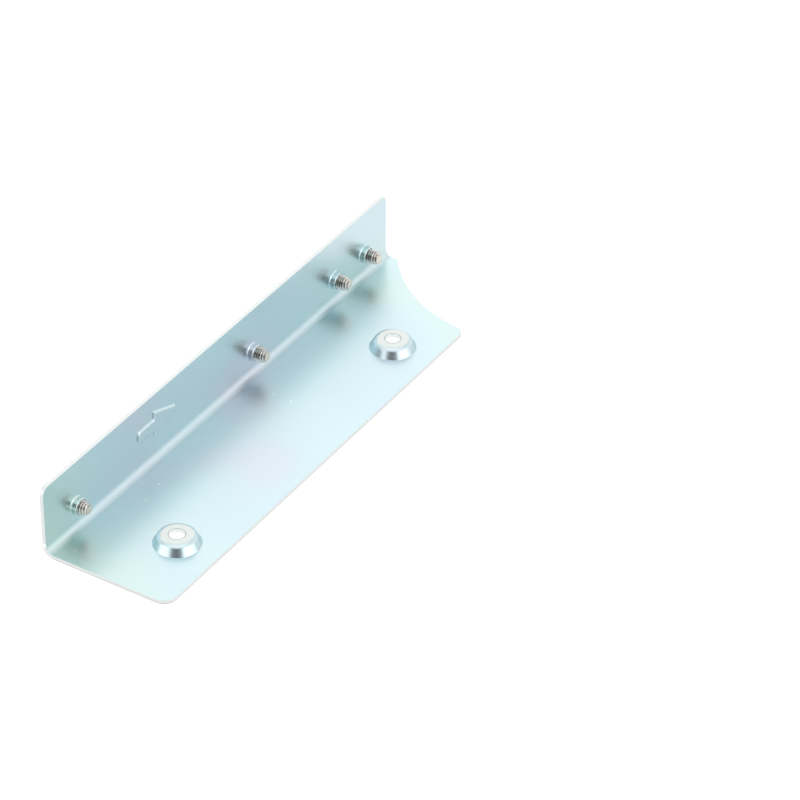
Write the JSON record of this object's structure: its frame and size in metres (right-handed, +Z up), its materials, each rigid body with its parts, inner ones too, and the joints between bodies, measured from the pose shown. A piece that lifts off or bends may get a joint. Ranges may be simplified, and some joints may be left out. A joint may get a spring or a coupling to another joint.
{
  "type": "drive bay adapter bracket",
  "caption": "Folded steel L bracket with raised drive seats, a notched end, a pressed arrow and pan head screws in its upright flange.",
  "frame": {"origin": "midway between the two drive holes, on the plane of the raised seats where the drive sits", "axes": "+X from the upright flange across the plate, +Y along the fold towards the notched end, +Z up from the plate to the drive"},
  "size_m": [0.0326, 0.1199, 0.0159],
  "materials": {
    "zinc_plated_sheet": "bright blue-white zinc plating, semi-gloss",
    "plated_screw_steel": "nickel plated steel, glossy"
  },
  "bodies": {
    "root": {"drive_bracket": "zinc_plated_sheet", "bay_screws": "plated_screw_steel"}
  },
  "joints": []
}
